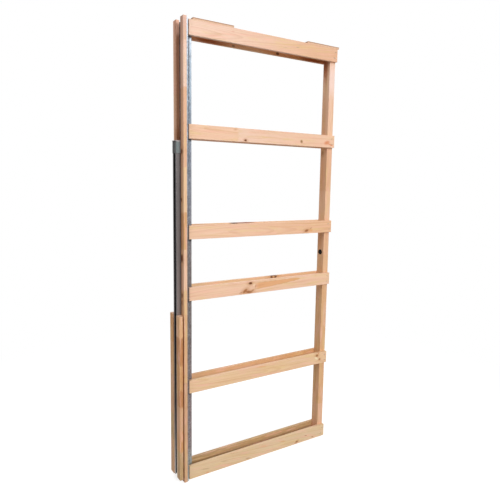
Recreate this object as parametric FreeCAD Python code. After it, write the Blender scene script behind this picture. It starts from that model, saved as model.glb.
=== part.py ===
"""Pocket door frame for one sliding door: a slatted timber cassette with its header packed in the mouth.

Millimetres, +Z up, origin on the floor under the centre of the overall box.
-X is the mouth that the door slides through, +X the rear post, -Y the front.
"""
import FreeCAD, Part
import math
import os

# Pocket: two walls of slats on either side of the space that the door slides into
SLAT_LENGTH = 827.0
SLAT_THICK = 15.0
SLAT_HEIGHT = 62.0
HEAD_SLAT_HEIGHT = 64.0
BASE_SLAT_HEIGHT = 66.0
WALL_HEIGHT = 2083.0
POCKET_DEPTH = 51.0
# Distances from each end of the wall to its second and third slats
OUTER_SLAT_OFFSET = 430.0
MIDDLE_SLAT_OFFSET = 870.0

# Rear post and the rubber buffer that stops the door
POST_WIDTH = 34.0
BUFFER_RADIUS = 13.0
BUFFER_NOSE = 11.0
BUFFER_FOOT = 3.0
BUFFER_DEPTH = 8.0

# Split jamb: a timber pair that stands proud of the slats by one plasterboard
JAMB_WIDTH = 16.0
JAMB_HEIGHT = 2090.0
JAMB_TO_SLATS = 15.0
MOUTH_GAP = 44.0
PLASTERBOARD = 12.5

# Roll-formed steel that joins each jamb timber to the slats
STEEL_GAUGE = 1.5
STEEL_OVERLAP = 19.0
STEEL_LIP = 6.5
STEEL_LIP_SETBACK = 3.5
BEAD_WIDTH = 7.0
BEAD_HEIGHT = 4.0
BEAD_SLOPE = 2.0
BEAD_TO_SLATS = 3.0

# Header: an extruded track with a timber nailer along each side of its opening half,
# held against the jambs a little above the floor
HEADER_LIFT = 17.0
TRACK_LENGTH = 1563.0
TRACK_DEPTH = 40.0
TRACK_WALL = 2.5
TRACK_CORNER = 1.5
TRACK_SLOT = 18.0
TRACK_RECESS = 3.0
RAIL_WIDTH = 3.0
RAIL_HEIGHT = 2.0
SCREW_GROOVE = 1.0
NAILER_LENGTH = 788.0
NAILER_THICK = 23.0
REBATE_WIDTH = 18.0
REBATE_DEPTH = 6.5
CAP_LENGTH = 52.0
CAP_WALL = 2.5
CAP_CORNER = 2.0
CAP_CLEARANCE = 1.0

# Tie plates that lie across both walls at the top
PLATE_THICK = 9.0
PLATE_LENGTH = 200.0
MOUTH_PLATE_INSET = 20.0
REAR_PLATE_OVERHANG = 9.0

# Places along X, from the packed header to the rear
OVERALL_LENGTH = NAILER_THICK + JAMB_WIDTH + JAMB_TO_SLATS + SLAT_LENGTH + REAR_PLATE_OVERHANG
HEADER_X = -OVERALL_LENGTH / 2
TRACK_X = HEADER_X + TRACK_RECESS
JAMB_X = HEADER_X + NAILER_THICK
STEEL_X = JAMB_X + JAMB_WIDTH
SLAT_X = STEEL_X + JAMB_TO_SLATS
REAR_X = SLAT_X + SLAT_LENGTH
POST_X = REAR_X - POST_WIDTH

# Half depths along Y, from the pocket's centre plane outwards
TRACK_Y = MOUTH_GAP / 2 - CAP_WALL - CAP_CLEARANCE
MOUTH_Y = MOUTH_GAP / 2
POCKET_Y = POCKET_DEPTH / 2
WALL_Y = POCKET_Y + SLAT_THICK
JAMB_Y = WALL_Y + PLASTERBOARD

UP = FreeCAD.Vector(0, 0, 1)
TOLERANCE = 0.001


def block(x0, x1, y0, y1, z0, z1):
    return Part.makeBox(x1 - x0, y1 - y0, z1 - z0, FreeCAD.Vector(x0, y0, z0))


def prism(outline, height):
    """An upright prism over a closed outline of (x, y) points."""
    corners = [FreeCAD.Vector(x, y, 0) for x, y in outline]
    return Part.Face(Part.makePolygon(corners + corners[:1])).extrude(UP * height)


def bent_sheet(path, gauge, height):
    """An upright sheet bent along (x, y) points, with its thickness on the path's left."""
    wire = Part.makePolygon([FreeCAD.Vector(x, y, 0) for x, y in path])
    arc_corners = 0
    filled = True
    open_ended = True
    return wire.makeOffset2D(gauge, arc_corners, filled, open_ended).extrude(UP * height)


def lifted(shape):
    """A header piece, drawn from its lower end, at its height above the floor."""
    return shape.translated(UP * HEADER_LIFT)


def to_back(shape):
    """The same piece on the other side of the pocket's centre plane."""
    return shape.mirror(FreeCAD.Vector(0, 0, 0), FreeCAD.Vector(0, 1, 0))


def upright_edges(shape, half_depth):
    """Full-height edges at a given distance from the centre plane."""
    height = shape.BoundBox.ZLength
    edges = []
    for edge in shape.Edges:
        upright = abs(edge.Length - height) < TOLERANCE
        outermost = abs(abs(edge.CenterOfMass.y) - half_depth) < TOLERANCE
        if upright and outermost:
            edges.append(edge)
    return edges


def front_slats():
    """The six slats of the front wall, laid out alike from the floor and from the head."""
    upper_outer = WALL_HEIGHT - OUTER_SLAT_OFFSET - SLAT_HEIGHT
    upper_middle = WALL_HEIGHT - MIDDLE_SLAT_OFFSET - SLAT_HEIGHT
    rows = {
        "base_slat": (0.0, BASE_SLAT_HEIGHT),
        "lower_slat": (OUTER_SLAT_OFFSET, SLAT_HEIGHT),
        "lower_middle_slat": (MIDDLE_SLAT_OFFSET, SLAT_HEIGHT),
        "upper_middle_slat": (upper_middle, SLAT_HEIGHT),
        "upper_slat": (upper_outer, SLAT_HEIGHT),
        "head_slat": (WALL_HEIGHT - HEAD_SLAT_HEIGHT, HEAD_SLAT_HEIGHT),
    }
    slats = {}
    for name, (bottom, height) in rows.items():
        slats[name] = block(SLAT_X, REAR_X, -WALL_Y, -POCKET_Y, bottom, bottom + height)
    return slats


def rear_post():
    return block(POST_X, REAR_X, -POCKET_Y, POCKET_Y, 0, WALL_HEIGHT)


def door_buffer():
    """A rubber stop at mid-height of the post: a thin foot and a domed nose towards the door."""
    foot = BUFFER_FOOT
    profile = [
        Part.makeLine(FreeCAD.Vector(0, 0, 0), FreeCAD.Vector(BUFFER_RADIUS, 0, 0)),
        Part.makeLine(FreeCAD.Vector(BUFFER_RADIUS, 0, 0), FreeCAD.Vector(BUFFER_RADIUS, 0, foot)),
        Part.makeLine(FreeCAD.Vector(BUFFER_RADIUS, 0, foot), FreeCAD.Vector(BUFFER_NOSE, 0, foot)),
        dome_edge(),
        Part.makeLine(FreeCAD.Vector(0, 0, BUFFER_DEPTH), FreeCAD.Vector(0, 0, 0)),
    ]
    stop = Part.Face(Part.Wire(profile)).revolve(FreeCAD.Vector(0, 0, 0), UP, 360)
    stop.rotate(FreeCAD.Vector(0, 0, 0), FreeCAD.Vector(0, 1, 0), -90)
    stop.translate(FreeCAD.Vector(POST_X, 0, WALL_HEIGHT / 2))
    return stop


def dome_edge():
    """The arc from the rim of the buffer's nose to its tip."""
    rise = BUFFER_DEPTH - BUFFER_FOOT
    sphere = (BUFFER_NOSE ** 2 + rise ** 2) / (2 * rise)
    half_angle = math.asin(BUFFER_NOSE / sphere) / 2
    middle_x = sphere * math.sin(half_angle)
    middle_z = BUFFER_DEPTH - sphere * (1 - math.cos(half_angle))
    rim = FreeCAD.Vector(BUFFER_NOSE, 0, BUFFER_FOOT)
    middle = FreeCAD.Vector(middle_x, 0, middle_z)
    tip = FreeCAD.Vector(0, 0, BUFFER_DEPTH)
    return Part.Arc(rim, middle, tip).toShape()


def front_jamb_timber():
    return block(JAMB_X, STEEL_X, -JAMB_Y, -MOUTH_Y, 0, JAMB_HEIGHT)


def front_jamb_steel():
    """A lip beside the jamb's face, a flange on its back and a beaded web behind the slats."""
    lip_y = -(JAMB_Y - STEEL_LIP_SETBACK)
    web_y = -(POCKET_Y - STEEL_GAUGE)
    bead_y = web_y - BEAD_HEIGHT
    bead_end = SLAT_X - BEAD_TO_SLATS
    bead_start = bead_end - BEAD_WIDTH
    path = [
        (STEEL_X + STEEL_LIP, lip_y),
        (STEEL_X, lip_y),
        (STEEL_X, web_y),
        (bead_start, web_y),
        (bead_start + BEAD_SLOPE, bead_y),
        (bead_end - BEAD_SLOPE, bead_y),
        (bead_end, web_y),
        (SLAT_X + STEEL_OVERLAP, web_y),
    ]
    return bent_sheet(path, STEEL_GAUGE, WALL_HEIGHT)


def header_track():
    """A C-shaped extrusion, slot towards -X, with roller rails on its lips and a screw groove."""
    lip = TRACK_X
    rail = lip + TRACK_WALL + RAIL_HEIGHT
    roof = TRACK_X + TRACK_DEPTH
    slot = TRACK_SLOT / 2
    inside = TRACK_Y - TRACK_WALL
    outer = [(lip, slot), (lip, TRACK_Y), (roof, TRACK_Y), (roof, SCREW_GROOVE)]
    groove = [(roof - SCREW_GROOVE, 0)]
    inner = [
        (roof - TRACK_WALL, inside),
        (lip + TRACK_WALL, inside),
        (lip + TRACK_WALL, slot + RAIL_WIDTH),
        (rail, slot + RAIL_WIDTH),
        (rail, slot),
    ]
    far_outer = [(x, -y) for x, y in reversed(outer)]
    far_inner = [(x, -y) for x, y in reversed(inner)]
    track = prism(outer + groove + far_outer + far_inner + inner, TRACK_LENGTH)
    return track.makeFillet(TRACK_CORNER, upright_edges(track, TRACK_Y))


def track_end_cap():
    """A moulded cap pushed over the top end of the track."""
    bottom = TRACK_LENGTH - CAP_LENGTH
    top = TRACK_LENGTH + CAP_WALL
    half_depth = TRACK_Y + CAP_WALL
    roof = TRACK_X + TRACK_DEPTH
    cap = block(TRACK_X - CAP_WALL, roof + CAP_WALL, -half_depth, half_depth, bottom, top)
    cap = cap.makeFillet(CAP_CORNER, upright_edges(cap, half_depth))
    return cap.cut(block(TRACK_X, roof, -TRACK_Y, TRACK_Y, bottom, TRACK_LENGTH))


def front_header_nailer():
    """A batten along the track's side, flush with the jamb, rebated where it meets the jamb's face."""
    step_x = JAMB_X - REBATE_DEPTH
    step_y = -(JAMB_Y - REBATE_WIDTH)
    outline = [
        (HEADER_X, -JAMB_Y),
        (step_x, -JAMB_Y),
        (step_x, step_y),
        (JAMB_X, step_y),
        (JAMB_X, -TRACK_Y),
        (HEADER_X, -TRACK_Y),
    ]
    return prism(outline, NAILER_LENGTH)


def tie_plate(start):
    """A plate across the top edges of both walls."""
    return block(start, start + PLATE_LENGTH, -WALL_Y, WALL_Y, WALL_HEIGHT, WALL_HEIGHT + PLATE_THICK)


def build():
    nodes = {
        "rear_post": rear_post(),
        "door_buffer": door_buffer(),
        "header_track": lifted(header_track()),
        "track_end_cap": lifted(track_end_cap()),
        "mouth_tie_plate": tie_plate(SLAT_X + MOUTH_PLATE_INSET),
        "rear_tie_plate": tie_plate(REAR_X + REAR_PLATE_OVERHANG - PLATE_LENGTH),
    }
    paired = front_slats()
    paired["jamb_timber"] = front_jamb_timber()
    paired["jamb_steel"] = front_jamb_steel()
    paired["header_nailer"] = lifted(front_header_nailer())
    for name, shape in paired.items():
        nodes["front_" + name] = shape
        nodes["back_" + name] = to_back(shape)
    return nodes


os.makedirs("parts", exist_ok=True)
for name, shape in build().items():
    shape.exportStep(os.path.join("parts", name + ".step"))
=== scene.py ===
"""Looks of a pocket door frame: planed pine, galvanised jamb steel, an aluminium track and its fixings.

Metres, in the frame's own axes: +Z up, -X the mouth, -Y the front.
"""
import math
import random
from dataclasses import dataclass

import bmesh
import bpy
from mathutils import Matrix, Vector


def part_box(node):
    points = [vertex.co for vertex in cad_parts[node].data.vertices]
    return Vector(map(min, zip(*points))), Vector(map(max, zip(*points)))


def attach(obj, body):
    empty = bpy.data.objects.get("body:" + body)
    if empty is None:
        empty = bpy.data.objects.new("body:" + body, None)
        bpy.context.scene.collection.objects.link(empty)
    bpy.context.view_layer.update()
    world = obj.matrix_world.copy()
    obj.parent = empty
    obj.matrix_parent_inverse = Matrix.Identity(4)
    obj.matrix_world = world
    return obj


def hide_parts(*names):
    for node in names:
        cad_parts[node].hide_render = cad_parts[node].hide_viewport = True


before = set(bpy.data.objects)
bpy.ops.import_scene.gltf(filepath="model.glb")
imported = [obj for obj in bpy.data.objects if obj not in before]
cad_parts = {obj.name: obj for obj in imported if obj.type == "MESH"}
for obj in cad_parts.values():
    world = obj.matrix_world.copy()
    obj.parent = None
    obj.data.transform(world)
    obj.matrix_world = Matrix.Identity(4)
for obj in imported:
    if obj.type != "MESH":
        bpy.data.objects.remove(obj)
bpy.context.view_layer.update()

MM = 0.001
ROW_NAMES = ("head", "upper", "upper_middle", "lower_middle", "lower", "base")
SIDES = ("front", "back")

# Corners this close are one, edges sharper than the angle are eased, and each material has its arris
WELD_REACH = 0.01 * MM
EASED_ANGLE = math.radians(40)
EASED_STEPS = 2
SMOOTH_ANGLE = math.radians(35)
PLANED_ARRIS = 1.0 * MM
SAWN_ARRIS = 0.6 * MM
MOULDED_ARRIS = 0.5 * MM
ROLLED_ARRIS = 0.35 * MM
DRAWN_ARRIS = 0.3 * MM

# Camera of the reference view
CAMERA_PLACE = Vector((-1.3111, -2.0191, 1.4058))
CAMERA_RIGHT = Vector((0.84834, -0.52924, 0.01509))
CAMERA_DOWN = Vector((-0.05938, -0.12342, -0.99058))
CAMERA_LENS = 35.31
SENSOR_WIDTH = 36.0

# Studio light: an even surround and lamps, each with its place, size and power, aimed at the frame
SURROUND_LIGHT = 0.4
LAMP_AIM = Vector((0.0, 0.0, 1.05))
LAMPS = {
    "key": (Vector((0.2, -8.0, 4.2)), 2.6, 405.0),
    "left_fill": (Vector((-4.2, -1.8, 3.5)), 1.6, 54.0),
    "back_fill": (Vector((2.6, 4.6, 3.4)), 2.0, 118.0),
}
FLOOR_RADIUS = 14.0
FLOOR_SIDES = 96
FLOOR_TONE = 0.45
FLOOR_LIFT = 0.74
# Beyond the object's shadow the floor shows pure white
SHADOW_REACH = 0.9
WHITE_FROM = 2.4


def colour(red, green, blue):
    """Linear RGBA of an sRGB colour given as 0 to 255."""
    linear = []
    for channel in (red, green, blue):
        share = channel / 255
        low = share / 12.92
        high = ((share + 0.055) / 1.055) ** 2.4
        linear.append(low if share <= 0.04045 else high)
    return (*linear, 1.0)


# Tones of planed pine, from fresh pink sapwood to older amber wood
MILK = colour(248, 217, 203)
BLUSH = colour(244, 210, 189)
PEACH = colour(243, 202, 172)
STRAW = colour(238, 201, 160)
HONEY = colour(230, 186, 144)
AMBER = colour(216, 166, 116)
RUSSET = colour(200, 142, 96)
ROSE = colour(245, 193, 168)
LEMON = colour(234, 202, 146)
FLAME_ORANGE = colour(226, 160, 98)
HEART_WOOD = colour(214, 142, 90)
TAN = colour(223, 176, 130)
SALMON = colour(232, 185, 150)
APRICOT = colour(239, 195, 162)
MELON = colour(237, 190, 153)
OAT = colour(231, 203, 164)
DUSTY = colour(191, 159, 115)
SHELL = colour(230, 191, 174)
FAWN = colour(212, 166, 128)
BRONZE = colour(206, 152, 100)
CHESTNUT = colour(190, 130, 82)
# Late wood, knots and sawn ends, the sawn ends' pale tone being painted light
LATE_WOOD = colour(198, 138, 92)
KNOT_RED = colour(146, 84, 46)
KNOT_DARK = colour(66, 38, 22)
KNOT_BROWN = colour(158, 96, 52)
KNOT_OLIVE = colour(150, 112, 66)
RESIN_RED = colour(218, 128, 82)
RESIN_BROWN = colour(164, 80, 26)
PITCH_PALE = colour(247, 228, 190)
PENCIL_GREY = colour(176, 150, 128)
LIT_END_GRAIN = colour(240, 204, 178)
HANDLED = colour(190, 144, 106)


class Graph:
    """A node tree, with short ways to add nodes and join them."""

    def __init__(self, node_tree):
        self.nodes = node_tree.nodes
        self.links = node_tree.links

    def put(self, socket, value):
        if isinstance(value, bpy.types.NodeSocket):
            self.links.new(value, socket)
        else:
            socket.default_value = value

    def node(self, kind, *values):
        """Adds a node and sets its first inputs."""
        node = self.nodes.new("ShaderNode" + kind)
        for socket, value in zip(node.inputs, values):
            self.put(socket, value)
        return node

    def math(self, operation, *values):
        node = self.node("Math", *values)
        node.operation = operation
        return node.outputs[0]

    def total(self, *values):
        result = values[0]
        for value in values[1:]:
            result = self.math("ADD", result, value)
        return result

    def product(self, *values):
        result = values[0]
        for value in values[1:]:
            result = self.math("MULTIPLY", result, value)
        return result

    def vector(self, operation, *values):
        node = self.node("VectorMath", *values)
        node.operation = operation
        return node.outputs["Value" if operation == "LENGTH" else "Vector"]

    def split(self, vector):
        return tuple(self.node("SeparateXYZ", vector).outputs)

    def join(self, x, y, z):
        return self.node("CombineXYZ", x, y, z).outputs[0]

    def minus(self, value, other):
        return self.math("SUBTRACT", value, other)

    def absolute(self, value):
        return self.math("ABSOLUTE", value)

    def step(self, value, low, high, start=0.0, end=1.0):
        """A smooth change from start to end while value goes from low to high."""
        node = self.node("MapRange", value, low, high, start, end)
        node.interpolation_type = "SMOOTHSTEP"
        return node.outputs[0]

    def fall(self, value, low, high, start=1.0):
        """A smooth change from start to 0 while value goes from low to high."""
        return self.step(value, low, high, start, 0.0)

    def noise(self, place, detail=3.0, roughness=0.6, output=0):
        node = self.node("TexNoise", place)
        node.inputs["Scale"].default_value = 1.0
        node.inputs["Detail"].default_value = detail
        node.inputs["Roughness"].default_value = roughness
        return node.outputs[output]

    def cells(self, place, output="Distance"):
        node = self.node("TexVoronoi", place)
        node.inputs["Scale"].default_value = 1.0
        return node.outputs[output]

    def mix(self, factor, first, second):
        node = self.node("Mix", factor)
        node.data_type = "RGBA"
        self.put(node.inputs[6], first)
        self.put(node.inputs[7], second)
        return node.outputs[2]

    def tint(self, base, tone, value, low, high, amount):
        """Mixes a tone into the base, up to amount, while value goes from low to high."""
        return self.mix(self.step(value, low, high, 0.0, amount), base, tone)

    def cover(self, base, tone, mask, amount):
        """Mixes amount of a tone into the base where the mask is 1."""
        return self.mix(self.product(mask, amount), base, tone)


class Tree(Graph):
    """A material's nodes."""

    def __init__(self, name):
        self.material = bpy.data.materials.new(name)
        self.material.use_nodes = True
        super().__init__(self.material.node_tree)
        self.nodes.clear()
        self.shader = self.node("BsdfPrincipled")
        self.output = self.node("OutputMaterial")
        self.put(self.output.inputs["Surface"], self.shader.outputs[0])
        self.place = self.node("TexCoord").outputs["Object"]

    def scaled(self, *factors):
        """The place in the frame, with each axis multiplied by its own number, or all by one."""
        return self.vector("MULTIPLY", self.place, factors if len(factors) == 3 else 3 * factors)

    def finish(self, base, roughness, relief, depth, strength, **sockets):
        """Sets the shader: relief stands out by depth, and other sockets are named with _ for a space."""
        bump = self.node("Bump")
        bump.inputs["Strength"].default_value = strength
        bump.inputs["Distance"].default_value = depth
        self.put(bump.inputs["Height"], relief)
        sockets.update(Base_Color=base, Roughness=roughness, Normal=bump.outputs[0])
        for name, value in sockets.items():
            self.put(self.shader.inputs[name.replace("_", " ")], value)
        return self.material


@dataclass
class Knot:
    """A branch through the board, with a ringed core, a bark line and grain that flows round it.

    Its place is from the board's low end and edge, and its tilt is in degrees.
    """
    along: float
    across: float
    radius: float
    strength: float = 0.7
    stretch: float = 1.6
    tilt: float = 0.0
    tone: tuple = KNOT_DARK


@dataclass
class Spot:
    """A soft stain, placed as a knot is but without a core."""
    along: float
    across: float
    radius: float
    tone: tuple
    strength: float = 0.7
    stretch: float = 1.6
    tilt: float = 0.0


@dataclass
class Flame:
    """A pointed patch of darker heart wood on a board's face, from its broad foot to its tip."""
    foot: float
    tip: float
    foot_across: float
    tip_across: float
    half_width: float


# Which frame axis runs along, across the wide face and through the thickness of a board
GRAIN_ALONG_X = (0, 2, 1)
GRAIN_UP_FACING_X = (2, 1, 0)
GRAIN_UP_FACING_Y = (2, 0, 1)
FINGER_PITCH = 4.0 * MM
FINGER_LENGTH = 11.0 * MM
GLUE_LINE = (0.2 * MM, 0.7 * MM)
JOINT_EDGE = 0.1 * MM
FADE_DRIFT = 0.2
# The pith: its place across as a share of the half width, its depth, its sway and its jump at a joint
PITH_ACROSS = 0.6
PITH_DEPTH = (0.035, 0.07)
PITH_SWAY_ACROSS = 0.05
PITH_SWAY_THROUGH = 0.03
PITH_JUMP = (0.02, 0.05)
# Millimetres between growth rings, and by how many rings they drift
RING_SPACING = (2.6, 4.2)
RING_DRIFT = 1.6
# Knot rings and planer marks, in radians for each metre
KNOT_RING_WAVES = 5200.0
PLANER_WAVES = 3300.0
# In radii of a mark: how far rings bend round a knot, and how ragged an outline is
KNOT_BEND = 1.2
RAGGEDNESS = 0.8
# Depths over which the tone of one face or end gives way to that of the next
FACE_SKIN = 0.3 * MM
FACE_DEPTH = 1.2 * MM
END_SKIN = (0.2 * MM, 1.1 * MM)
WORN_REACH = 2.2 * MM
# How far below the head the painted shade on the pocket face gives way to painted light
LIT_HEAD = (75.0 * MM, 45.0 * MM)
# Painted shade on the mouth face, from its outer to its pocket edge, and on the pocket face
MOUTH_SHADE = (0.12, 0.62)
POCKET_SHADE = 0.72
FLAME_RAGGED = 9.0 * MM
FLAME_BODY = (-1.0 * MM, 1.5 * MM)
FLAME_EDGE = (0.3 * MM, 2.0 * MM)


class Board(Tree):
    """Planed pine of one board: growth rings in the round, so that faces and ends agree."""

    def __init__(self, node_name, axes, seed, grain_slope=0.0):
        super().__init__("pine_" + node_name)
        low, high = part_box(node_name)
        centre = (low + high) / 2
        self.rng = random.Random(seed)
        self.seed = seed
        self.grain_slope = grain_slope
        self.half = [(high[axis] - low[axis]) / 2 for axis in axes]
        parts = self.split(self.vector("SUBTRACT", self.place, centre))
        self.along, self.across, self.through = (parts[axis] for axis in axes)
        self.heart_shift = 0.0
        self.glue = 0.0

    def stretched(self, along, across, shift=0.0, sideways=None):
        """A place for noise: along the grain times one number, sideways both ways times another."""
        side, depth = sideways or (self.across, self.through)
        return self.join(self.total(self.product(self.along, along), shift),
                         self.product(side, across), self.product(depth, across))

    def mouth_face(self, amount):
        """The amount on the face toward the mouth, and 0 elsewhere."""
        return self.fall(self.through, FACE_SKIN - self.half[2], FACE_DEPTH - self.half[2], amount)

    def edge_nearness(self, reach):
        """1 on the board's arrises, falling to 0 at reach from them."""
        gaps = []
        for offset, half in zip((self.along, self.across, self.through), self.half):
            gaps.append(self.minus(half, self.absolute(offset)))
        low = self.math("MINIMUM", gaps[0], gaps[1])
        high = self.math("MAXIMUM", gaps[0], gaps[1])
        second = self.math("MAXIMUM", low, self.math("MINIMUM", high, gaps[2]))
        return self.fall(second, 0.0, reach)

    def lay_blocks(self, blocks, fade):
        """Tones along the board: blocks meet at finger joints, and the last may fade to another tone."""
        finger = self.math("PINGPONG", self.across, FINGER_PITCH / 2)
        slope = 2 * FINGER_LENGTH / FINGER_PITCH
        zigzag = self.product(self.minus(finger, FINGER_PITCH / 4), slope)
        tone = blocks[0][1]
        for start, block_tone in blocks[1:]:
            beyond = self.total(self.along, zigzag, self.half[0] - start)
            mask = self.step(beyond, -JOINT_EDGE, JOINT_EDGE)
            tone = self.mix(mask, tone, block_tone)
            shift = self.rng.choice((-1, 1)) * self.rng.uniform(*PITH_JUMP)
            self.heart_shift = self.total(self.heart_shift, self.product(mask, shift))
            line = self.fall(self.absolute(beyond), *GLUE_LINE)
            self.glue = self.math("MAXIMUM", self.glue, line)
        if fade:
            uneven = self.noise(self.stretched(1.0, 40.0, self.seed), 2.0, 0.5)
            reach = self.total(self.along, self.product(uneven, FADE_DRIFT), -FADE_DRIFT / 2)
            tone = self.mix(self.step(reach, -self.half[0], self.half[0]), tone, fade)
        return tone

    def grow_rings(self, marks):
        """The distance from the pith, which wanders along the trunk and bends round each knot."""
        wander_place = self.join(self.product(self.along, 1.7), self.seed * 3.7, 0.0)
        wander = self.noise(wander_place, 1.0, 0.5, 1)
        sway = self.split(self.vector("SUBTRACT", wander, (0.5, 0.5, 0.5)))
        pith_across = self.rng.uniform(-PITH_ACROSS, PITH_ACROSS) * self.half[1]
        pith_through = self.rng.choice((-1, 1)) * self.rng.uniform(*PITH_DEPTH)
        lean = self.product(self.along, -self.grain_slope)
        from_pith_across = self.total(self.across, self.product(sway[0], PITH_SWAY_ACROSS),
                                      self.heart_shift, pith_across, lean)
        from_pith_through = self.total(self.through, self.product(sway[1], PITH_SWAY_THROUGH), pith_through)
        self.from_pith = (from_pith_across, from_pith_through)
        self.radius = self.vector("LENGTH", self.join(*self.from_pith, 0.0))
        self.knots = []
        self.spots = []
        self.knot_pit = 0.0
        for mark in marks:
            if isinstance(mark, Knot):
                self.grow_knot(mark)
            else:
                self.spots.append((mark, self.distance_from(mark)))
        spacing = self.rng.uniform(*RING_SPACING) * MM
        uneven_place = self.join(self.product(self.radius, 90.0), self.seed * 1.3, 0.0)
        uneven = self.product(self.noise(uneven_place, 2.0, 0.5), RING_DRIFT)
        ring = self.math("FRACT", self.total(self.math("DIVIDE", self.radius, spacing), uneven))
        self.late = self.product(self.step(ring, 0.35, 0.93), self.fall(ring, 0.95, 1.0))

    def distance_from(self, mark):
        """The ragged distance from a mark's centre, in its radii."""
        down = self.minus(self.along, mark.along - self.half[0])
        side = self.minus(self.across, mark.across - self.half[1])
        cosine = math.cos(math.radians(mark.tilt))
        sine = math.sin(math.radians(mark.tilt))
        turned_along = self.total(self.product(down, cosine), self.product(side, sine))
        turned_across = self.total(self.product(side, cosine), self.product(down, -sine))
        flat = self.join(self.math("DIVIDE", turned_along, mark.stretch), turned_across, 0.0)
        ragged = self.minus(self.noise(self.scaled(220.0)), 0.5)
        return self.total(self.math("DIVIDE", self.vector("LENGTH", flat), mark.radius),
                          self.product(ragged, RAGGEDNESS))

    def grow_knot(self, knot):
        distance = self.distance_from(knot)
        core = self.fall(distance, 0.7, 1.0, knot.strength)
        halo = self.fall(distance, 0.8, 3.4, knot.strength)
        rim = self.product(self.step(distance, 0.7, 0.95, 0.0, knot.strength),
                           self.fall(distance, 1.0, 1.2))
        self.knots.append((knot, core, halo, rim))
        self.knot_pit = self.math("MAXIMUM", self.knot_pit, core)
        self.radius = self.total(self.radius, self.product(halo, knot.radius * KNOT_BEND))

    def mouth_shade(self, base, pocket_side):
        """Painted shade on timber at the mouth: darker on its mouth face, and on its pocket face below the
        head, which painted light keeps pale.
        """
        mouth_face = self.mouth_face(1.0)
        toward_pocket = self.product(self.across, pocket_side)
        amount = self.step(toward_pocket, -self.half[1], self.half[1], *MOUTH_SHADE)
        pocket_face = self.step(toward_pocket, self.half[1] - FACE_DEPTH, self.half[1] - FACE_SKIN,
                                0.0, POCKET_SHADE)
        below_head = self.fall(self.along, *(self.half[0] - below for below in LIT_HEAD))
        painted_shade = self.math("MAXIMUM", self.product(mouth_face, amount),
                          self.product(pocket_face, below_head))
        return self.mix(painted_shade, base, KNOT_RED)

    def paint_warm_bounce(self, base, amount):
        """Painted warm bounce light on the face toward the mouth, warmer than the others."""
        return self.mix(self.mouth_face(amount), base, FLAME_ORANGE)

    def heart_flame(self, base, flame):
        """A tongue of heart wood that narrows to its tip, with a dark edge."""
        share = self.math("DIVIDE", self.minus(self.along, flame.foot - self.half[0]),
                          flame.tip - flame.foot)
        middle = self.total(self.product(share, flame.tip_across - flame.foot_across),
                            flame.foot_across - self.half[1])
        ragged = self.minus(self.noise(self.scaled(55.0, 55.0, 160.0)), 0.5)
        left = self.math("MAXIMUM", self.minus(1.0, share), 0.0)
        width = self.total(self.product(self.math("POWER", left, 0.5), flame.half_width),
                           self.product(ragged, FLAME_RAGGED))
        off_middle = self.absolute(self.minus(self.across, middle))
        inside = self.minus(width, off_middle)
        begun = self.step(share, -0.04, 0.1)
        body = self.product(self.step(inside, *FLAME_BODY), begun)
        edge = self.product(self.fall(self.absolute(inside), *FLAME_EDGE), begun,
                            self.fall(share, 0.9, 1.0))
        base = self.cover(base, FLAME_ORANGE, body, 0.7)
        return self.cover(base, RUSSET, edge, 0.5)

    def paint(self, blocks, fade=None, marks=(), flame=None, pocket_side=0, bounce=0.0):
        """The board's material, from its tones and figure to its marks, ends and wear."""
        base = self.lay_blocks(blocks, fade)
        self.grow_rings(marks)

        # Fibres, long streaks and soft patches follow the grain
        fibre = self.noise(self.stretched(26.0, 1500.0))
        streak = self.noise(self.stretched(2.6, 120.0, self.seed * 2.1, self.from_pith), 4.0, 0.6)
        patch = self.noise(self.stretched(8.0, 62.0, self.seed * 5.3, self.from_pith))
        base = self.tint(base, AMBER, streak, 0.5, 0.72, 0.5)
        base = self.tint(base, BLUSH, streak, 0.46, 0.3, 0.4)
        base = self.tint(base, ROSE, patch, 0.5, 0.7, 0.65)
        base = self.tint(base, LEMON, patch, 0.48, 0.3, 0.55)
        if flame:
            base = self.heart_flame(base, flame)
        base = self.cover(base, LATE_WOOD, self.late, 0.2)
        base = self.tint(base, LATE_WOOD, fibre, 0.52, 0.8, 0.26)

        # Short dark resin canals
        canal = self.cells(self.stretched(60.0, 420.0))
        base = self.mix(self.fall(canal, 0.05, 0.16, 0.3), base, KNOT_RED)

        # Painted shade at the mouth
        if pocket_side:
            base = self.mouth_shade(base, pocket_side)
        # Painted warm bounce light on the mouth face
        if bounce:
            base = self.paint_warm_bounce(base, bounce)
        for knot, core, halo, rim in self.knots:
            knot_rings = self.math("SINE", self.product(self.radius, KNOT_RING_WAVES))
            knot_tone = self.mix(self.step(knot_rings, -0.8, 0.9, 0.2, 0.85), KNOT_RED, knot.tone)
            base = self.cover(base, RUSSET, halo, 0.5)
            base = self.mix(core, base, knot_tone)
            base = self.cover(base, knot.tone, rim, 0.6)
        for spot, distance in self.spots:
            base = self.mix(self.fall(distance, 0.2, 1.2, spot.strength), base, spot.tone)
        base = self.cover(base, RUSSET, self.glue, 0.3)

        # Sawn ends are painted pale as painted light, with sharp rings, and arrises are worn and handled
        end_gap = self.minus(self.half[0], self.absolute(self.along))
        end_grain = self.fall(end_gap, *END_SKIN)
        end_tone = self.cover(LIT_END_GRAIN, KNOT_RED, self.late, 0.25)
        base = self.cover(base, end_tone, end_grain, 0.7)
        scuff = self.noise(self.scaled(90.0))
        arris = self.edge_nearness(WORN_REACH)
        wear = self.product(arris, self.step(scuff, 0.42, 0.62))
        dark_mask = self.product(arris, self.step(scuff, 0.5, 0.34))
        base = self.cover(base, BLUSH, wear, 0.4)
        base = self.cover(base, HANDLED, dark_mask, 0.25)

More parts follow.
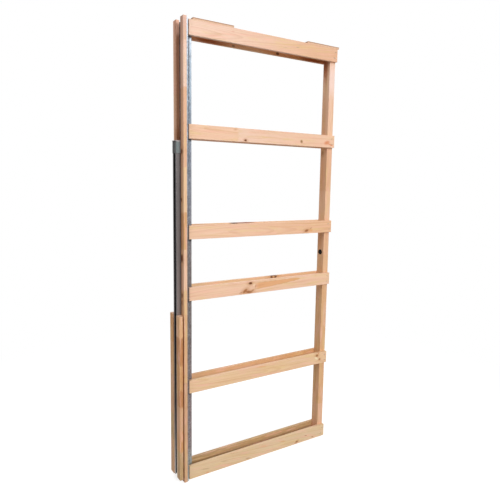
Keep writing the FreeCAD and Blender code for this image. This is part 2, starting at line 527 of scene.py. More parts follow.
        # The planer leaves a fine ripple across the grain
        ripple = self.math("SINE", self.product(self.along, PLANER_WAVES))
        roughness = self.total(0.58, self.product(self.late, -0.1), self.product(scuff, 0.16))
        height = self.total(self.product(self.late, 0.5), self.product(fibre, 0.8),
                            self.product(end_grain, scuff), self.product(self.knot_pit, -0.5),
                            self.product(self.glue, -0.3), self.product(ripple, 0.04))
        return self.finish(base, roughness, height, 0.25 * MM, 0.5, Specular_IOR_Level=0.22)


# Painted sheen on the zinc from the foot to the head of the jamb steel, by share of its height: brightest at
# the head
STEEL_SHEEN_TONES = (
    (0.0, colour(152, 160, 154)),
    (0.1, colour(128, 112, 110)),
    (0.45, colour(112, 101, 97)),
    (0.72, colour(119, 124, 134)),
    (0.88, colour(139, 152, 164)),
    (1.0, colour(184, 194, 205)),
)
STEEL_POCKET_SHADE = colour(98, 84, 78)
STEEL_SHADE = colour(70, 74, 80)
STEEL_SLAT_SHADOW = colour(34, 28, 28)
FLAKE_SHADE = colour(60, 62, 66)
FLAKE_GLINT = colour(226, 230, 236)
STEEL_SCRATCH = colour(92, 94, 98)
STEEL_SKIN = (0.3 * MM, 1.0 * MM)
# The painted shade that the lip and jamb cast on the web, by distance from the free edge, and the painted
# shadow under a slat, by distance below it
LINE_START = (7.0 * MM, 11.0 * MM)
LINE_END = (17.0 * MM, 22.0 * MM)
SLAT_SHADOW_END = (6.0 * MM, 14.0 * MM)
SLAT_SHADOW_EDGE = 1.0 * MM


def galvanised():
    """Hot-dip zinc with frosted crystals, and painted light: a sheen brightest at the head, painted shade in
    the pocket and a painted shadow under each slat.
    """
    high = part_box("front_jamb_steel")[1]
    tree = Tree("galvanised_steel")
    x, y, z = tree.split(tree.place)
    drift = tree.noise(tree.scaled(60.0), 2.0, 0.5, 1)
    flake = tree.split(tree.cells(tree.vector("ADD", tree.scaled(110.0, 110.0, 75.0), drift), "Color"))
    fine = tree.split(tree.cells(tree.scaled(420.0, 420.0, 300.0), "Color"))
    cloud = tree.noise(tree.scaled(22.0, 22.0, 5.0), 3.0, 0.55)
    scratch = tree.noise(tree.scaled(900.0, 900.0, 14.0), 2.0, 0.5)

    height = tree.math("DIVIDE", z, high.z)
    rise = tree.total(height, tree.product(tree.minus(cloud, 0.5), 0.1))
    # Painted sheen: paler at the foot, dull in the middle, brightest at the head
    base = STEEL_SHEEN_TONES[0][1]
    for (start, _), (end, tone) in zip(STEEL_SHEEN_TONES, STEEL_SHEEN_TONES[1:]):
        base = tree.mix(tree.step(rise, start, end), base, tone)
    # Painted shade, with a painted brown reflection of the wood, on the steel's pocket faces
    pocket_face = -high.y
    pocket_side = tree.fall(tree.absolute(y), *(pocket_face + skin_depth for skin_depth in STEEL_SKIN))
    base = tree.cover(base, STEEL_POCKET_SHADE, pocket_side, 0.9)
    # Painted shade on the web beside the lip, stronger higher up
    free_edge = tree.minus(high.x, x)
    lip_shadow_line = tree.product(tree.step(free_edge, *LINE_START), tree.fall(free_edge, *LINE_END),
                               tree.step(height, 0.5, 0.95, 0.25, 0.8))
    base = tree.mix(lip_shadow_line, base, STEEL_SHADE)
    # Painted shadow that each slat casts on the steel just below it, on the outer side only
    dark_mask = 0.0
    for row in ROW_NAMES:
        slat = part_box("front_" + row + "_slat")[0]
        below = tree.minus(slat.z, z)
        slat_shadow_band = tree.product(tree.step(below, -SLAT_SHADOW_EDGE, 0.0), tree.fall(below, *SLAT_SHADOW_END),
                             tree.step(x, slat.x - SLAT_SHADOW_EDGE, slat.x + SLAT_SHADOW_EDGE))
        dark_mask = tree.math("MAXIMUM", dark_mask, slat_shadow_band)
    outer_side = tree.minus(1.0, pocket_side)
    base = tree.mix(tree.product(dark_mask, outer_side, 0.9), base, STEEL_SLAT_SHADOW)
    base = tree.tint(base, tree.mix(0.6, base, FLAKE_SHADE), flake[0], 0.2, 1.0, 0.55)
    base = tree.tint(base, tree.mix(0.5, base, FLAKE_GLINT), fine[1], 0.5, 1.0, 0.45)
    base = tree.tint(base, STEEL_SCRATCH, scratch, 0.62, 0.8, 0.3)
    roughness = tree.total(0.4, tree.product(flake[1], 0.16), tree.product(cloud, 0.1),
                           tree.product(pocket_side, 0.1))
    relief = tree.total(tree.product(flake[2], 0.6), tree.product(fine[0], 0.2))
    return tree.finish(base, roughness, relief, 0.08 * MM, 0.35, Metallic=0.85)


TRACK_WALL = 2.5 * MM
TRACK_DARK = colour(123, 113, 111)
TRACK_PALE = colour(152, 143, 140)
TRACK_CLOUD = colour(114, 104, 101)
TRACK_UPPER = colour(84, 84, 87)
TRACK_SPECK = colour(70, 68, 70)
TRACK_FLOOR_REFLECTION = colour(222, 216, 212)
TRACK_LIP_SHADE = colour(62, 59, 60)
TRACK_INSIDE_SHADE = colour(26, 24, 24)
# Heights between which the imported track turns darker, the painted shade on its lips deepens and then pales,
# and the painted reflection of the floor on its foot ends
DARKENING = (0.7, 1.4)
LIP_DARKENING = (0.05, 1.1)
LIP_PALING = (1.25, 1.5)
FOOT_ENDING = (0.03, 0.4)


def mill_aluminium():
    """Extruded aluminium: draw lines along its length, dull outside, with painted shade inside the channel and
    on its lips, and a painted reflection of the floor on the lips at the foot.
    """
    low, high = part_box("header_track")
    wall = TRACK_WALL
    tree = Tree("mill_aluminium")
    x, y, z = tree.split(tree.place)
    lines = tree.noise(tree.scaled(1300.0, 1300.0, 1.5), 3.0, 0.65)
    cloud = tree.noise(tree.scaled(35.0, 35.0, 6.0), 3.0, 0.55)
    speck = tree.cells(tree.scaled(240.0, 240.0, 120.0))
    base = tree.mix(lines, TRACK_DARK, TRACK_PALE)
    base = tree.tint(base, TRACK_CLOUD, cloud, 0.4, 0.7, 0.5)
    base = tree.tint(base, TRACK_UPPER, z, *DARKENING, 0.7)
    base = tree.mix(tree.fall(speck, 0.03, 0.1, 0.4), base, TRACK_SPECK)
    depth = tree.minus(x, low.x)
    beside = tree.minus(high.y, tree.absolute(y))
    lip_face = tree.product(tree.fall(depth, 0.1 * wall, 0.5 * wall),
                            tree.step(beside, 0.0, 0.4 * wall))
    # Painted shade inside the channel
    inside = tree.product(tree.step(depth, 0.4 * wall, wall), tree.step(beside, 0.4 * wall, 0.9 * wall),
                          tree.step(tree.minus(high.x, x), 0.4 * wall, 0.9 * wall))
    # Painted shade on the lips' mouth faces, lighter near the foot, with a painted reflection of the floor at
    # the foot
    lip_shade = tree.product(tree.step(z, *LIP_PALING, 0.85, 0.4), tree.step(z, *LIP_DARKENING))
    floor_reflection = tree.product(lip_face, tree.fall(z, *FOOT_ENDING, 0.9))
    base = tree.mix(floor_reflection, base, TRACK_FLOOR_REFLECTION)
    base = tree.cover(base, TRACK_LIP_SHADE, lip_face, lip_shade)
    base = tree.cover(base, TRACK_INSIDE_SHADE, inside, 0.95)
    roughness = tree.total(0.38, tree.product(lines, 0.18), tree.product(inside, 0.2))
    return tree.finish(base, roughness, lines, 0.05 * MM, 0.4, Metallic=0.8)


# The track's end cap is open at the mouth but for its rim, with a plug between the track's lips
CAP_RIM = 3.0 * MM
PLUG_HALF = 8.5 * MM
PLUG_RECESS = 1.5 * MM
PLUG_DEPTH = 10.0 * MM
PLUG_EDGE = 0.5 * MM
HIGHLIGHT_BELOW = (8.0 * MM, 3.0 * MM)
FAR_SIDE = (9.0 * MM, 24.0 * MM)
CAP_DARK = colour(98, 108, 109)
CAP_PALE = colour(124, 136, 136)
CAP_SCUFF = colour(158, 166, 165)
RIM_HIGHLIGHT = colour(210, 188, 186)
CAP_FAR_SHADE = colour(88, 78, 82)
PLUG_SHADE = colour(52, 53, 54)


def moulded_plastic():
    """Grey plastic with a spark-eroded grain and a painted highlight along its rim, with painted shade on its
    plug and toward the pocket.
    """
    low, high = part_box("track_end_cap")
    tree = Tree("moulded_plastic")
    x, y, z = tree.split(tree.place)
    grain = tree.cells(tree.scaled(2200.0))
    cloud = tree.noise(tree.scaled(60.0))
    scuff = tree.noise(tree.scaled(500.0, 500.0, 90.0))
    base = tree.mix(cloud, CAP_DARK, CAP_PALE)
    base = tree.tint(base, CAP_SCUFF, scuff, 0.6, 0.78, 0.4)
    # Painted highlight along the top of the rim
    base = tree.tint(base, RIM_HIGHLIGHT, z, *(high.z - below for below in HIGHLIGHT_BELOW), 0.45)
    # Painted shade toward the pocket side, beside the jamb
    base = tree.tint(base, CAP_FAR_SHADE, x, *(low.x + beyond for beyond in FAR_SIDE), 0.6)
    # Painted shade on the plug between the lips
    plug_shade_mask = tree.product(tree.fall(tree.absolute(y), PLUG_HALF, PLUG_HALF + PLUG_EDGE, 0.8),
                        tree.fall(z, high.z - CAP_RIM, high.z - CAP_RIM + PLUG_EDGE),
                        tree.fall(x, low.x + PLUG_DEPTH, low.x + 2 * PLUG_DEPTH))
    base = tree.mix(plug_shade_mask, base, PLUG_SHADE)
    roughness = tree.total(0.48, tree.product(cloud, 0.15))
    return tree.finish(base, roughness, grain, 0.06 * MM, 0.4, Specular_IOR_Level=0.35)


RUBBER_BLACK = colour(12, 10, 11)
RUBBER_DUST = colour(34, 30, 28)
ZINC_BLUE = colour(132, 137, 145)
ZINC_STRAW = colour(150, 142, 120)
ZINC_SCRATCH = colour(88, 86, 82)


def black_rubber():
    """Black rubber with dust in its pores."""
    tree = Tree("black_rubber")
    pores = tree.cells(tree.scaled(900.0))
    dust = tree.noise(tree.scaled(180.0))
    base = tree.tint(RUBBER_BLACK, RUBBER_DUST, dust, 0.45, 0.8, 0.5)
    roughness = tree.total(0.7, tree.product(dust, 0.2))
    return tree.finish(base, roughness, pores, 0.1 * MM, 0.4, Specular_IOR_Level=0.15)


def bright_zinc():
    """Plated wire and screws, with a passivation that drifts from blue to straw."""
    tree = Tree("bright_zinc")
    drift = tree.noise(tree.scaled(160.0))
    scratch = tree.noise(tree.scaled(1800.0), 2.0, 0.6)
    base = tree.mix(tree.step(drift, 0.35, 0.65), ZINC_BLUE, ZINC_STRAW)
    base = tree.tint(base, ZINC_SCRATCH, scratch, 0.55, 0.75, 0.5)
    roughness = tree.total(0.28, tree.product(scratch, 0.25))
    return tree.finish(base, roughness, scratch, 0.03 * MM, 0.4, Metallic=0.95)


PLIES = 5
PLY_ALONG = colour(246, 208, 178)
PLY_ACROSS = colour(230, 188, 154)
PLY_FIBRE = colour(140, 96, 66)
PLY_GLUE = colour(112, 76, 54)
PLY_WEATHERED = colour(146, 98, 70)
VENEER_PALE = colour(232, 192, 154)
VENEER_DARK = colour(198, 144, 98)
VENEER_FIBRE = colour(168, 116, 78)
VENEER_SKIN = (0.4 * MM, 0.1 * MM)
# How many plies up the edges turn darker, and how many rings the figure of the veneer has
WEATHERED_ABOVE = (2.4, 3.2)
FIGURE_RINGS = 9.0


def plywood(node_name, seed):
    """Softwood plywood: a rotary-cut figure on top, and edges of crossed plies, darker above."""
    low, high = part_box(node_name)
    tree = Tree("plywood_" + node_name)
    x, y, z = tree.split(tree.place)
    level = tree.product(tree.minus(z, low.z), PLIES / (high.z - low.z))
    ply = tree.math("FRACT", level)
    crossed = tree.math("GREATER_THAN", tree.math("MODULO", tree.math("FLOOR", level), 2.0), 0.5)
    glue = tree.math("MAXIMUM", tree.fall(ply, 0.0, 0.1), tree.step(ply, 0.9, 1.0))
    top = tree.step(z, *(high.z - below for below in VENEER_SKIN))
    figure_across = tree.total(tree.product(y, 55.0), seed)
    figure_place = tree.join(tree.product(x, 7.0), figure_across, 0.0)
    figure = tree.math("FRACT", tree.product(tree.noise(figure_place, 2.0, 0.5), FIGURE_RINGS))
    fibre = tree.noise(tree.scaled(60.0, 900.0, 1600.0))
    end_fibre = tree.noise(tree.scaled(1400.0, 900.0, 1600.0), 2.0, 0.6)
    edge = tree.mix(crossed, PLY_ALONG, PLY_ACROSS)
    edge = tree.tint(edge, PLY_FIBRE, end_fibre, 0.4, 0.75, 0.35)
    edge = tree.cover(edge, PLY_GLUE, glue, 0.3)
    edge = tree.tint(edge, PLY_WEATHERED, level, *WEATHERED_ABOVE, 0.7)
    face = tree.tint(VENEER_PALE, VENEER_DARK, figure, 0.3, 1.0, 0.55)
    face = tree.tint(face, VENEER_FIBRE, fibre, 0.5, 0.8, 0.35)
    base = tree.mix(top, edge, face)
    roughness = tree.total(0.66, tree.product(fibre, 0.14))
    relief = tree.total(fibre, tree.product(glue, -0.6))
    return tree.finish(base, roughness, relief, 0.2 * MM, 0.5, Specular_IOR_Level=0.2)


def weld(piece):
    """Merges corners that lie on each other."""
    piece.modifiers.new("weld", "WELD").merge_threshold = WELD_REACH


def ease(piece, arris):
    """Welds a piece and eases its edges."""
    weld(piece)
    bevel = piece.modifiers.new("arris", "BEVEL")
    bevel.width = arris
    bevel.segments = EASED_STEPS
    bevel.limit_method = "ANGLE"
    bevel.angle_limit = EASED_ANGLE


def dress(node_name, material, arris=0.0):
    """Gives a CAD node its material and eases its edges."""
    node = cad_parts[node_name]
    for slot in node.material_slots:
        slot.material = material
    if arris:
        ease(node, arris)


# Slats: a tone at the mouth end, a tone at the rear, and marks from the mouth end and the lower edge
SLAT_TONES = {
    "front_head": (BLUSH, SALMON),
    "front_upper": (PEACH, PEACH),
    "front_upper_middle": (PEACH, MELON),
    "front_lower_middle": (PEACH, PEACH),
    "front_lower": (STRAW, STRAW),
    "front_base": (OAT, OAT),
    # Partly painted shade: the back head's deep tone also stands for the shade under the front head slat
    "back_head": (HEART_WOOD, HEART_WOOD),
    "back_upper": (PEACH, HONEY),
    "back_upper_middle": (HONEY, STRAW),
    "back_lower_middle": (STRAW, HONEY),
    "back_lower": (HONEY, AMBER),
    "back_base": (DUSTY, DUSTY),
}
SLAT_MARKS = {
    "front_head": [
        Spot(0.574, 0.034, 0.0025, PENCIL_GREY, 0.6, 5, 6),
        Spot(0.5, 0.022, 0.002, PENCIL_GREY, 0.4, 9, 8),
        Spot(0.215, 0.047, 0.005, RESIN_RED, 0.25, 2),
    ],
    "front_upper": [
        Knot(0.287, 0.008, 0.0045, 1, 1.4),
        Spot(0.232, 0.054, 0.008, RUSSET, 0.4, 1.6, 20),
        Spot(0.613, 0.021, 0.0095, KNOT_OLIVE, 0.95, 1.1, -30),
        Spot(0.777, 0.024, 0.012, RESIN_RED, 0.8, 1.9, 12),
        Spot(0.803, 0.014, 0.0045, RESIN_RED, 0.8, 5, -16),
    ],
    "front_upper_middle": [
        Knot(0.662, 0.014, 0.0055, 0.9, 2.2, 16, KNOT_BROWN),
        Spot(0.69, 0.026, 0.003, KNOT_BROWN, 0.5, 3.4, 36),
        Spot(0.69, 0.014, 0.008, FLAME_ORANGE, 0.6, 2),
    ],
    "front_lower_middle": [
        Knot(0.326, 0.051, 0.0055, 1, 1.8),
        Knot(0.296, 0.016, 0.0068, 0.95, 2, 34, KNOT_BROWN),
        Knot(0.318, 0.009, 0.0064, 0.85, 2.6, -8, KNOT_BROWN),
        Knot(0.338, 0.014, 0.004, 0.55, 2.4, 24, KNOT_BROWN),
        Spot(0.272, 0.01, 0.003, KNOT_BROWN, 0.6, 4, 14),
        Spot(0.346, 0.04, 0.006, PITCH_PALE, 0.5, 1.4, 60),
        Spot(0.356, 0.034, 0.0025, KNOT_BROWN, 0.6, 4.4, 70),
    ],
    "front_lower": [
        Knot(0.761, 0.048, 0.006, 0.9, 1.3, 0, KNOT_BROWN),
        Spot(0.772, 0.058, 0.005, RESIN_RED, 0.6, 1.6, 40),
        Knot(0.779, 0.024, 0.0048, 0.8, 1.3, 0, KNOT_BROWN),
        Spot(0.757, 0.033, 0.007, PITCH_PALE, 0.9, 2.4, -32),
        Spot(0.4, 0.054, 0.005, FLAME_ORANGE, 0.5, 7, -6),
    ],
    "front_base": [
        Knot(0.638, 0.012, 0.0042, 0.8, 2, 14, KNOT_BROWN),
        Spot(0.7, 0.031, 0.0026, KNOT_BROWN, 0.8, 4.2, -14),
        Spot(0.747, 0.011, 0.003, KNOT_BROWN, 0.7, 3.4, -12),
        Spot(0.327, 0.01, 0.003, KNOT_BROWN, 0.7, 6, -14),
        Spot(0.545, 0.04, 0.005, FLAME_ORANGE, 0.5, 5, -8),
        Spot(0.095, 0.006, 0.004, RESIN_RED, 0.6, 3),
        Spot(0.085, 0.028, 0.0035, KNOT_OLIVE, 0.4, 8, -12),
        Spot(0.19, 0.036, 0.003, KNOT_OLIVE, 0.35, 9, -12),
        Spot(0.42, 0.05, 0.0035, FLAME_ORANGE, 0.5, 8, -10),
    ],
    "back_head": [
        Spot(0.34, 0.006, 0.014, STRAW, 0.55, 10),
        # Painted shade: the two dark brown patches on the lower edge near the ends stand for the shade under
        # the tie plates
        Spot(0.13, 0.006, 0.014, RESIN_BROWN, 0.75, 6),
        Spot(0.71, 0.006, 0.014, RESIN_BROWN, 0.9, 7),
        Knot(0.255, 0.006, 0.005, 1, 1.5),
        Knot(0.502, 0.008, 0.006, 1, 1.5),
    ],
    "back_upper": [Knot(0.431, 0.04, 0.005, 0.8, 1.5)],
    "back_upper_middle": [
        Spot(0.32, 0.061, 0.008, KNOT_RED, 1, 10),
        Spot(0.266, 0.06, 0.007, KNOT_DARK, 0.9, 3.6),
    ],
    "back_lower_middle": [Knot(0.507, 0.058, 0.013, 1, 1.5), Spot(0.507, 0.056, 0.007, AMBER, 0.9, 1.5)],
    "back_lower": [Knot(0.186, 0.022, 0.006, 0.9, 1.6)],
    "back_base": [Knot(0.602, 0.03, 0.005, 0.8, 1.4, 0, KNOT_BROWN)],
}
SLAT_BLOCKS = {"front_upper": [(0, PEACH), (0.248, BLUSH)]}
# How far the grain climbs for each unit along the slat
GRAIN_SLOPES = {"front_head": 0.07, "front_lower_middle": 0.03, "front_lower": -0.07, "front_base": -0.12}
SLAT_FLAMES = {"front_lower_middle": Flame(0.352, 0.632, 0.034, 0.049, 0.015)}
# Uprights of finger-jointed blocks: where each starts above the foot, and its tone
POST_BLOCKS = [(0, SALMON), (0.19, TAN), (0.46, TAN), (0.93, HONEY), (1.03, SALMON), (1.21, APRICOT),
               (1.37, SALMON), (1.62, PEACH), (1.84, PEACH)]
FRONT_JAMB_BLOCKS = [(0, FAWN), (0.49, TAN), (0.81, HONEY), (0.92, PEACH), (1.106, AMBER), (1.27, STRAW),
                     (1.465, SALMON), (1.8, BLUSH), (1.99, SHELL)]
# Painted shade on the back jamb's pocket face just above the track's end cap
BACK_JAMB_SHADE_MARKS = [Spot(1.6, 0.004, 0.022, KNOT_RED, 0.5, 2.4)]
BACK_JAMB_BLOCKS = [(0, HONEY), (0.38, STRAW), (0.77, PEACH), (1.02, HONEY), (1.37, PEACH), (1.78, ROSE)]
FRONT_NAILER_BLOCKS = [(0, DUSTY), (0.14, BRONZE), (0.243, FAWN), (0.36, CHESTNUT), (0.44, BRONZE),
                       (0.56, CHESTNUT), (0.689, TAN)]
BACK_NAILER_BLOCKS = [(0, FAWN), (0.17, DUSTY), (0.3, FAWN), (0.49, AMBER), (0.65, BRONZE)]
POST_MARKS = [
    Knot(1.565, 0.035, 0.006, 0.4, 1.6, 0, KNOT_BROWN),
    Spot(1.45, 0.036, 0.03, HEART_WOOD, 0.4, 5),
    Spot(1.74, 0.036, 0.03, RUSSET, 0.4, 6),
    Spot(1.1, 0.036, 0.03, HEART_WOOD, 0.4, 2.4),
    # Painted shade: the dark brown patch at the top of the post's pocket face stands for the shadow under the
    # head slat
    Spot(2.01, 0.036, 0.03, RESIN_BROWN, 0.85, 3.4),
    Spot(1.93, 0, 0.005, MILK, 0.9, 20),
    Spot(1.94, 0.026, 0.0045, KNOT_RED, 0.4, 16),
    Spot(0.29, 0.032, 0.0035, KNOT_RED, 0.5, 18),
    Spot(0.78, 0.026, 0.009, KNOT_OLIVE, 0.4, 0.4),
]
JAMB_MARKS = [
    Knot(0.865, 0.022, 0.005, 0.7, 2.4),
    Knot(0.898, 0.02, 0.006, 0.9, 1.8),
    Knot(1.067, 0.021, 0.01, 1, 1.8),
    Knot(1.327, 0.024, 0.006, 0.9, 1.4),
    Knot(1.535, 0.02, 0.008, 0.9, 1.4),
]
# How much painted warm bounce light the post's mouth face takes
POST_WARM_BOUNCE = 0.12
TIE_PLATES = ("mouth_tie_plate", "rear_tie_plate")
FIGURE_SHIFT = 4.0


def dress_timber():
    seed = 1
    for row in ROW_NAMES:
        for side in SIDES:
            place = side + "_" + row
            node_name = place + "_slat"
            start, end = SLAT_TONES[place]
            blocks = SLAT_BLOCKS.get(place, [(0.0, start)])
            board = Board(node_name, GRAIN_ALONG_X, seed, GRAIN_SLOPES.get(place, 0.0))
            material = board.paint(blocks, end, SLAT_MARKS[place], SLAT_FLAMES.get(place))
            dress(node_name, material, PLANED_ARRIS)
            seed += 1
    uprights = {
        "rear_post": (GRAIN_UP_FACING_X, POST_BLOCKS, POST_MARKS, 0, POST_WARM_BOUNCE),
        "front_jamb_timber": (GRAIN_UP_FACING_X, FRONT_JAMB_BLOCKS, JAMB_MARKS, 1, 0.0),
        "back_jamb_timber": (GRAIN_UP_FACING_X, BACK_JAMB_BLOCKS, BACK_JAMB_SHADE_MARKS, -1, 0.0),
        "front_header_nailer": (GRAIN_UP_FACING_Y, FRONT_NAILER_BLOCKS, (), 0, 0.0),
        "back_header_nailer": (GRAIN_UP_FACING_Y, BACK_NAILER_BLOCKS, (), 0, 0.0),
    }
    for node_name, (axes, blocks, marks, pocket_side, bounce) in uprights.items():
        material = Board(node_name, axes, seed).paint(blocks, None, marks, None, pocket_side, bounce)
        dress(node_name, material, PLANED_ARRIS)
        seed += 1
    for number, node_name in enumerate(TIE_PLATES):
        dress(node_name, plywood(node_name, FIGURE_SHIFT * number), SAWN_ARRIS)


def dress_hardware():
    steel = galvanised()
    for side in SIDES:
        dress(side + "_jamb_steel", steel, ROLLED_ARRIS)
    dress("header_track", mill_aluminium(), DRAWN_ARRIS)
    dress("door_buffer", black_rubber())


# Screw heads: shoulder, crown and cross recess as shares of the head's radius
HEAD_SIDES = 24
HEAD_SEAT = 0.5 * MM
WAFER_HEAD = {"radius": 4.2 * MM, "edge": 0.5 * MM, "crown": 1.3 * MM}
SUNK_HEAD = {"radius": 4.0 * MM, "edge": 0.1 * MM, "crown": 0.25 * MM}
SHOULDER_SHARE = 0.88
SHOULDER_RISE = 0.6
CROWN_SHARE = 0.62
RECESS_ARM = 0.5
RECESS_HALF = 0.13
RECESS_TAPER = 0.6
RECESS_DEPTH = 1.2 * MM
# Staples of flattened wire, whose crown stands a share of the wire proud of the wood
STAPLE_CROWN = 11.0 * MM
STAPLE_WIRE = 1.4 * MM
STAPLE_LEG = 3.0 * MM
STAPLE_BEND = 0.9 * MM
STAPLE_PROUD = 0.3
WIRE_HALF_HEIGHT = 0.38
WIRE_HALF_WIDTH = 0.5
BEND_STEPS = 3
WIRE_SIDES = 8
# Where fixings sit: shares of a slat's and a jamb's height, insets, and how far they drift and turn
FIXINGS_SEED = 41
SLAT_SHARES = (0.27, 0.73)
JAMB_SHARES = (0.11, 0.33, 0.5, 0.67, 0.88)
WEB_INSET = 9.5 * MM
FLANGE_INSET = 13.0 * MM
STEEL_GAUGE = 1.5 * MM
WALL_MIDDLE = 33.0 * MM
PLATE_INSET = 28.0 * MM
STAPLE_DRIFT = 6.0 * MM
STAPLE_TURN = 0.5
SCREW_TURN = 1.5


def skin(shape, rings):
    """Joins each closed ring of corners to the next with faces."""
    for lower, upper in zip(rings, rings[1:]):
        for number in range(len(lower)):
            before = number - 1
            shape.faces.new((lower[before], lower[number], upper[number], upper[before]))


def ring_edges(shape, ring):
    return [shape.edges.get((ring[number - 1], ring[number])) for number in range(len(ring))]


def screw(shape, place, radius, edge, crown):
    """A screw head with a cross recess: its seat at z = 0 of place, its edge and crown above that."""
    rings = []
    shoulder = edge + SHOULDER_RISE * (crown - edge)
    outline = ((1.0, -HEAD_SEAT), (1.0, edge), (SHOULDER_SHARE, shoulder), (CROWN_SHARE, crown))
    for share, height in outline:
        ring = []
        for number in range(HEAD_SIDES):
            angle = 2 * math.pi * number / HEAD_SIDES
            corner = Vector((share * radius * math.cos(angle), share * radius * math.sin(angle), height))
            ring.append(shape.verts.new(place @ corner))
        rings.append(ring)
    skin(shape, rings)
    shape.faces.new(rings[0])

    arm = RECESS_ARM * radius
    half = RECESS_HALF * radius
    mouth = []
    pit = []
    for quarter in range(4):
        turn = Matrix.Rotation(quarter * math.pi / 2, 4, "Z")
        for x, y in ((arm, -half), (arm, half), (half, half)):
            floor_corner = Vector((RECESS_TAPER * x, RECESS_TAPER * y, crown - RECESS_DEPTH))
            mouth.append(shape.verts.new(place @ turn @ Vector((x, y, crown))))
            pit.append(shape.verts.new(place @ turn @ floor_corner))
    skin(shape, (mouth, pit))
    shape.faces.new(pit)
    rims = ring_edges(shape, rings[-1]) + ring_edges(shape, mouth)
    bmesh.ops.triangle_fill(shape, use_beauty=True, edges=rims)


def staple(shape, place):
    """A wire staple driven home: a flat crown between rounded shoulders, its legs in the wood."""
    top = STAPLE_PROUD * STAPLE_WIRE
    bend = []
    for number in range(BEND_STEPS + 1):
        angle = math.pi / 2 * number / BEND_STEPS
        bend.append(Vector((STAPLE_BEND * (1 - math.cos(angle)) - STAPLE_CROWN / 2, 0.0,
                            top - STAPLE_BEND * (1 - math.sin(angle)))))
    left = [Vector((-STAPLE_CROWN / 2, 0.0, -STAPLE_LEG))] + bend
    right = [Vector((-point.x, 0.0, point.z)) for point in reversed(left)]
    path = left + right
    rings = []
    for number, point in enumerate(path):
        before = path[max(number - 1, 0)]
        after = path[min(number + 1, len(path) - 1)]
        way = (after - before).normalized()
        outward = Vector((-way.z, 0.0, way.x))
        ring = []
        for side in range(WIRE_SIDES):
            angle = 2 * math.pi * side / WIRE_SIDES
            offset = outward * (WIRE_HALF_HEIGHT * STAPLE_WIRE * math.sin(angle))
            offset.y = WIRE_HALF_WIDTH * STAPLE_WIRE * math.cos(angle)
            ring.append(shape.verts.new(place @ (point + offset)))
        rings.append(ring)
    skin(shape, rings)
    shape.faces.new(rings[0])
    shape.faces.new(rings[-1])


def facing(point, normal, turn):
    """A place on a surface: z along the normal, x turned about it by so many radians."""
    stand = normal.to_track_quat("Z", "Y").to_matrix().to_4x4()
    return Matrix.Translation(point) @ stand @ Matrix.Rotation(turn, 4, "Z")


def new_object(name, shape):
    """Turns the shape into an object of the scene."""
    mesh = bpy.data.meshes.new(name)
    shape.to_mesh(mesh)
    shape.free()
    result = bpy.data.objects.new(name, mesh)
    bpy.context.scene.collection.objects.link(result)
    return result


def add_piece(name, shape, material):
    """Turns the shape into one piece that rides on the frame."""
    bmesh.ops.recalc_face_normals(shape, faces=shape.faces)
    piece = new_object(name, shape)
    piece.data.shade_smooth()
    piece.data.set_sharp_from_angle(angle=SMOOTH_ANGLE)
    piece.data.materials.append(material)
    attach(piece, "root")
    return piece


def block(shape, low, high):
    """Adds a block between two corners to a shape."""
    bmesh.ops.create_cube(shape, size=1.0, matrix=Matrix.LocRotScale((low + high) / 2, None, high - low))


def open_end_cap():
    """Stands a cap with an open mouth and a plug in the place of the plain cap on the track's end."""
    low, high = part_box("track_end_cap")
    track_low, track_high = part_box("header_track")
    spare = Vector((MM, MM, MM))
    mouth = bmesh.new()
    block(mouth, low - spare, Vector((track_low.x, high.y + MM, high.z - CAP_RIM)))
    cutter = new_object("cap_mouth", mouth)
    body = bmesh.new()
    body.from_mesh(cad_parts["track_end_cap"].data)
    plug_x = track_low.x + PLUG_RECESS
    block(body, Vector((plug_x, -PLUG_HALF, low.z)), Vector((plug_x + PLUG_DEPTH, PLUG_HALF, track_high.z)))
    blank = new_object("cap_blank", body)
    weld(blank)
    cut = blank.modifiers.new("mouth", "BOOLEAN")
    cut.operation = "DIFFERENCE"
    cut.object = cutter
    ease(blank, MOULDED_ARRIS)
    shape = bmesh.new()
    shape.from_object(blank, bpy.context.evaluated_depsgraph_get())
    bpy.data.objects.remove(cutter)
    bpy.data.objects.remove(blank)
    piece = add_piece("open_end_cap", shape, moulded_plastic())
    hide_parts("track_end_cap")


def add_fixings():
    """Staples at the post, screws from the jamb steel into slats and jambs, screws in the tie plates."""
    rng = random.Random(FIXINGS_SEED)
    zinc = bright_zinc()
    shapes = {name: bmesh.new() for name in ("wall_staples", "wall_screws", "jamb_screws", "plate_screws")}
    post_low, post_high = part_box("rear_post")
    for side, outward in zip(SIDES, (-1, 1)):
        steel_low, steel_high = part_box(side + "_jamb_steel")
        timber_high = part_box(side + "_jamb_timber")[1]
        web_y = steel_high.y if outward < 0 else steel_low.y
        for row in ROW_NAMES:
            low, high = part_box(side + "_" + row + "_slat")
            face_y = low.y if outward < 0 else high.y
            for share in SLAT_SHARES:
                z = low.z + share * (high.z - low.z)
                x = (post_low.x + post_high.x) / 2 + rng.uniform(-STAPLE_DRIFT, STAPLE_DRIFT)
                turn = rng.uniform(-STAPLE_TURN, STAPLE_TURN)
                staple(shapes["wall_staples"], facing(Vector((x, face_y, z)), Vector((0, outward, 0)), turn))
                web = Vector((low.x + WEB_INSET, web_y, z))
                turn = rng.uniform(0, SCREW_TURN)
                screw(shapes["wall_screws"], facing(web, Vector((0, -outward, 0)), turn), **WAFER_HEAD)
        flange_y = web_y + outward * FLANGE_INSET
        for share in JAMB_SHARES:
            point = Vector((timber_high.x + STEEL_GAUGE, flange_y, share * timber_high.z))
            turn = rng.uniform(0, SCREW_TURN)
            screw(shapes["jamb_screws"], facing(point, Vector((1, 0, 0)), turn), **WAFER_HEAD)
    for node_name in TIE_PLATES:
        low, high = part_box(node_name)
        for x in (low.x + PLATE_INSET, high.x - PLATE_INSET):
            for y in (-WALL_MIDDLE, WALL_MIDDLE):
                point = Vector((x, y, high.z))
                turn = rng.uniform(0, SCREW_TURN)
                screw(shapes["plate_screws"], facing(point, Vector((0, 0, 1)), turn), **SUNK_HEAD)
    for name, shape in shapes.items():
        add_piece(name, shape, zinc)


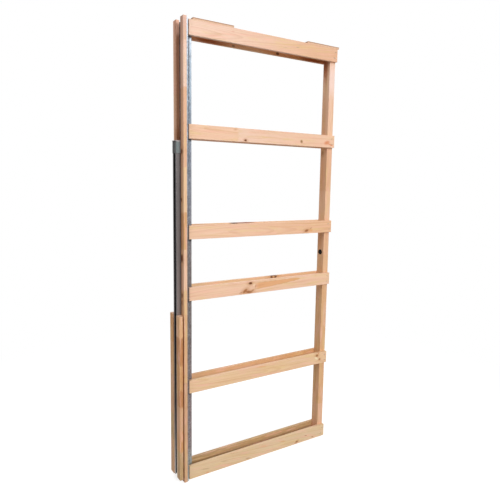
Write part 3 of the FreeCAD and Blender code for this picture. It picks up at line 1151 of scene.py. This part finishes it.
def studio():
    """The camera, the light and a pale floor."""
    scene = bpy.context.scene
    scene.view_settings.view_transform = "Standard"

    data = bpy.data.cameras.new("camera")
    data.sensor_fit = "HORIZONTAL"
    data.sensor_width = SENSOR_WIDTH
    data.lens = CAMERA_LENS
    camera = bpy.data.objects.new("camera", data)
    scene.collection.objects.link(camera)
    up = -CAMERA_DOWN
    back = CAMERA_RIGHT.cross(up)
    turn = Matrix((CAMERA_RIGHT, up, back)).transposed()
    camera.matrix_world = Matrix.Translation(CAMERA_PLACE) @ turn.to_4x4()
    scene.camera = camera

    for name, (place, size, power) in LAMPS.items():
        light = bpy.data.lights.new(name, "AREA")
        light.shape = "SQUARE"
        light.size = size
        light.energy = power
        lamp = bpy.data.objects.new(name, light)
        lamp.location = place
        lamp.rotation_mode = "QUATERNION"
        lamp.rotation_quaternion = (LAMP_AIM - place).to_track_quat("-Z", "Y")
        scene.collection.objects.link(lamp)

    world = bpy.data.worlds.new("surround")
    world.use_nodes = True
    background = world.node_tree.nodes["Background"]
    background.inputs["Color"].default_value = (1.0, 1.0, 1.0, 1.0)
    graph = Graph(world.node_tree)
    level = graph.node("MapRange", seen_rays(graph), 0.0, 1.0, SURROUND_LIGHT, 1.0)
    graph.put(background.inputs["Strength"], level.outputs[0])
    scene.world = world
    floor()


def seen_rays(graph):
    """1 for rays that show the surroundings: straight from the camera, or by way of metal or glass."""
    path = graph.node("LightPath").outputs
    result = path["Is Camera Ray"]
    for name in ("Is Glossy Ray", "Is Transmission Ray"):
        result = graph.math("MAXIMUM", result, path[name])
    return result


def floor():
    """A pale disc that shows white but for the object's soft shadow."""
    shape = bmesh.new()
    bmesh.ops.create_circle(shape, cap_ends=True, segments=FLOOR_SIDES, radius=FLOOR_RADIUS)
    ground = new_object("floor", shape)

    tree = Tree("floor")
    tree.nodes.remove(tree.shader)
    seen = seen_rays(tree)
    diffuse = tree.node("BsdfDiffuse", (FLOOR_TONE, FLOOR_TONE, FLOOR_TONE, 1.0))
    glow = tree.node("Emission")
    tree.put(glow.inputs["Strength"], tree.product(seen, FLOOR_LIFT))
    near = tree.node("AddShader", diffuse.outputs[0], glow.outputs[0])
    white = tree.node("Emission")
    far = tree.step(tree.vector("LENGTH", tree.place), SHADOW_REACH, WHITE_FROM)
    blend = tree.node("MixShader", tree.product(far, seen), near.outputs[0], white.outputs[0])
    tree.put(tree.output.inputs["Surface"], blend.outputs[0])
    ground.data.materials.append(tree.material)
    return ground


dress_timber()
dress_hardware()
open_end_cap()
add_fixings()
studio()

bpy.context.view_layer.update()
